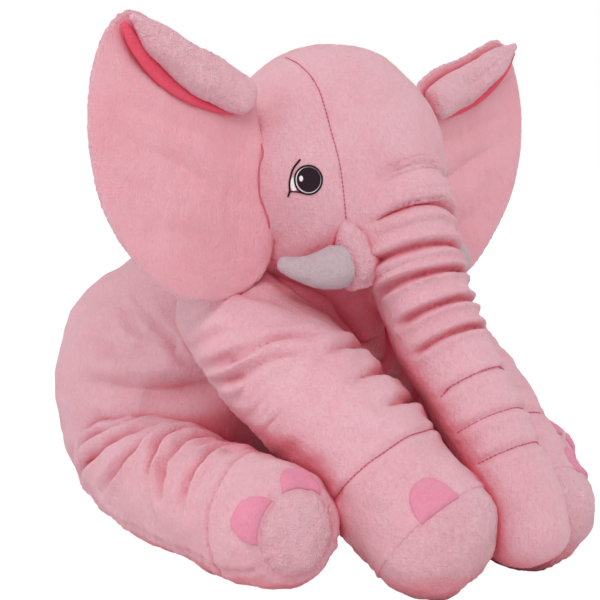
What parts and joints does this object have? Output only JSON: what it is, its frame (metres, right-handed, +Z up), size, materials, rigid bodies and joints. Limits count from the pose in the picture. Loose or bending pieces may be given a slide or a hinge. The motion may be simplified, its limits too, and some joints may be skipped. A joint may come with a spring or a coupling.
{
  "type": "stuffed elephant",
  "caption": "Seated plush elephant with stuffed body, soft legs, trunk, tusks, tail and large ears that swing on sewn seams.",
  "frame": {"origin": "middle of the flat seat under the rump, on the floor", "axes": "+Z up, the elephant faces -Y, its left side is +X"},
  "size_m": [0.5684, 0.6198, 0.4815],
  "materials": {
    "short_pile_plush": "short brushed polyester pile with a soft sheen",
    "long_pile_plush": "slightly longer brushed pile",
    "ear_velour": "smooth velour",
    "nail_felt": "smooth velour patch",
    "tusk_felt": "short off-white pile",
    "eye_thread": "satin-stitched thread",
    "stuffing": "loose polyester fibre"
  },
  "bodies": {
    "torso": {"torso_side_left": "short_pile_plush", "torso_side_right": "short_pile_plush", "torso_back_panel": "short_pile_plush", "torso_belly_panel": "short_pile_plush", "torso_stuffing": "stuffing"},
    "head": {"head_side_left": "short_pile_plush", "head_side_right": "short_pile_plush", "head_gusset": "short_pile_plush", "head_chin": "short_pile_plush", "head_stuffing": "stuffing", "eye_left": "eye_thread", "eye_right": "eye_thread", "tusk_left": "tusk_felt", "tusk_right": "tusk_felt", "tusk_socket_left": "short_pile_plush", "tusk_socket_right": "short_pile_plush"},
    "trunk_upper": {"trunk_upper_front_panel": "short_pile_plush", "trunk_upper_under_panel": "short_pile_plush", "trunk_upper_stuffing": "stuffing"},
    "trunk_lower": {"trunk_lower_front_panel": "short_pile_plush", "trunk_lower_under_panel": "short_pile_plush", "trunk_lower_stuffing": "stuffing"},
    "ear_left": {"ear_left_face": "ear_velour", "ear_left_back": "short_pile_plush", "ear_left_wadding": "stuffing"},
    "ear_right": {"ear_right_face": "ear_velour", "ear_right_back": "short_pile_plush", "ear_right_wadding": "stuffing"},
    "tail": {"tail_cord": "short_pile_plush", "tail_tuft": "long_pile_plush"},
    "front_leg_left": {"front_leg_left_upper_panel": "short_pile_plush", "front_leg_left_under_panel": "short_pile_plush", "front_leg_left_sole": "long_pile_plush", "front_leg_left_stuffing": "stuffing", "front_leg_left_nails": "nail_felt"},
    "front_leg_right": {"front_leg_right_upper_panel": "short_pile_plush", "front_leg_right_under_panel": "short_pile_plush", "front_leg_right_sole": "long_pile_plush", "front_leg_right_stuffing": "stuffing", "front_leg_right_nails": "nail_felt"},
    "rear_leg_left": {"rear_leg_left_upper_panel": "short_pile_plush", "rear_leg_left_under_panel": "short_pile_plush", "rear_leg_left_sole": "long_pile_plush", "rear_leg_left_stuffing": "stuffing", "rear_leg_left_nails": "nail_felt"},
    "rear_leg_right": {"rear_leg_right_upper_panel": "short_pile_plush", "rear_leg_right_under_panel": "short_pile_plush", "rear_leg_right_sole": "long_pile_plush", "rear_leg_right_stuffing": "stuffing", "rear_leg_right_nails": "nail_felt"}
  },
  "joints": [
    {"name": "head_nod", "type": "hinge", "parent": "torso", "child": "head", "pos_m": [0, -0.159, 0.222], "axis": [-1, 0, 0], "range_deg": [0, 8]},
    {"name": "trunk_lift", "type": "hinge", "parent": "head", "child": "trunk_upper", "pos_m": [0, -0.288, 0.32], "axis": [-1, 0, 0], "range_deg": [0, 20]},
    {"name": "trunk_bend", "type": "hinge", "parent": "trunk_upper", "child": "trunk_lower", "pos_m": [0, -0.343, 0.21], "axis": [-1, 0, 0], "range_deg": [0, 25]},
    {"name": "ear_left_flap", "type": "hinge", "parent": "head", "child": "ear_left", "pos_m": [0.119, -0.217, 0.372], "axis": [0, 0, 1], "range_deg": [-20, 25]},
    {"name": "ear_right_flap", "type": "hinge", "parent": "head", "child": "ear_right", "pos_m": [-0.119, -0.217, 0.372], "axis": [0, 0, -1], "range_deg": [-20, 25]},
    {"name": "front_leg_left_lift", "type": "hinge", "parent": "torso", "child": "front_leg_left", "pos_m": [0.088, -0.174, 0.23], "axis": [-0.858, -0.2825, 0.429], "range_deg": [0, 15]},
    {"name": "front_leg_right_lift", "type": "hinge", "parent": "torso", "child": "front_leg_right", "pos_m": [-0.088, -0.174, 0.23], "axis": [-0.858, 0.2825, -0.429], "range_deg": [0, 15]},
    {"name": "rear_leg_left_splay", "type": "hinge", "parent": "torso", "child": "rear_leg_left", "pos_m": [0.09, -0.024, 0.08], "axis": [0, -0.0566, 0.9984], "range_deg": [0, 20]},
    {"name": "rear_leg_right_splay", "type": "hinge", "parent": "torso", "child": "rear_leg_right", "pos_m": [-0.09, -0.024, 0.08], "axis": [0, 0.0566, -0.9984], "range_deg": [0, 20]},
    {"name": "tail_swing", "type": "hinge", "parent": "torso", "child": "tail", "pos_m": [0, 0.127, 0.166], "axis": [0, 1, 0], "range_deg": [-25, 25]}
  ]
}
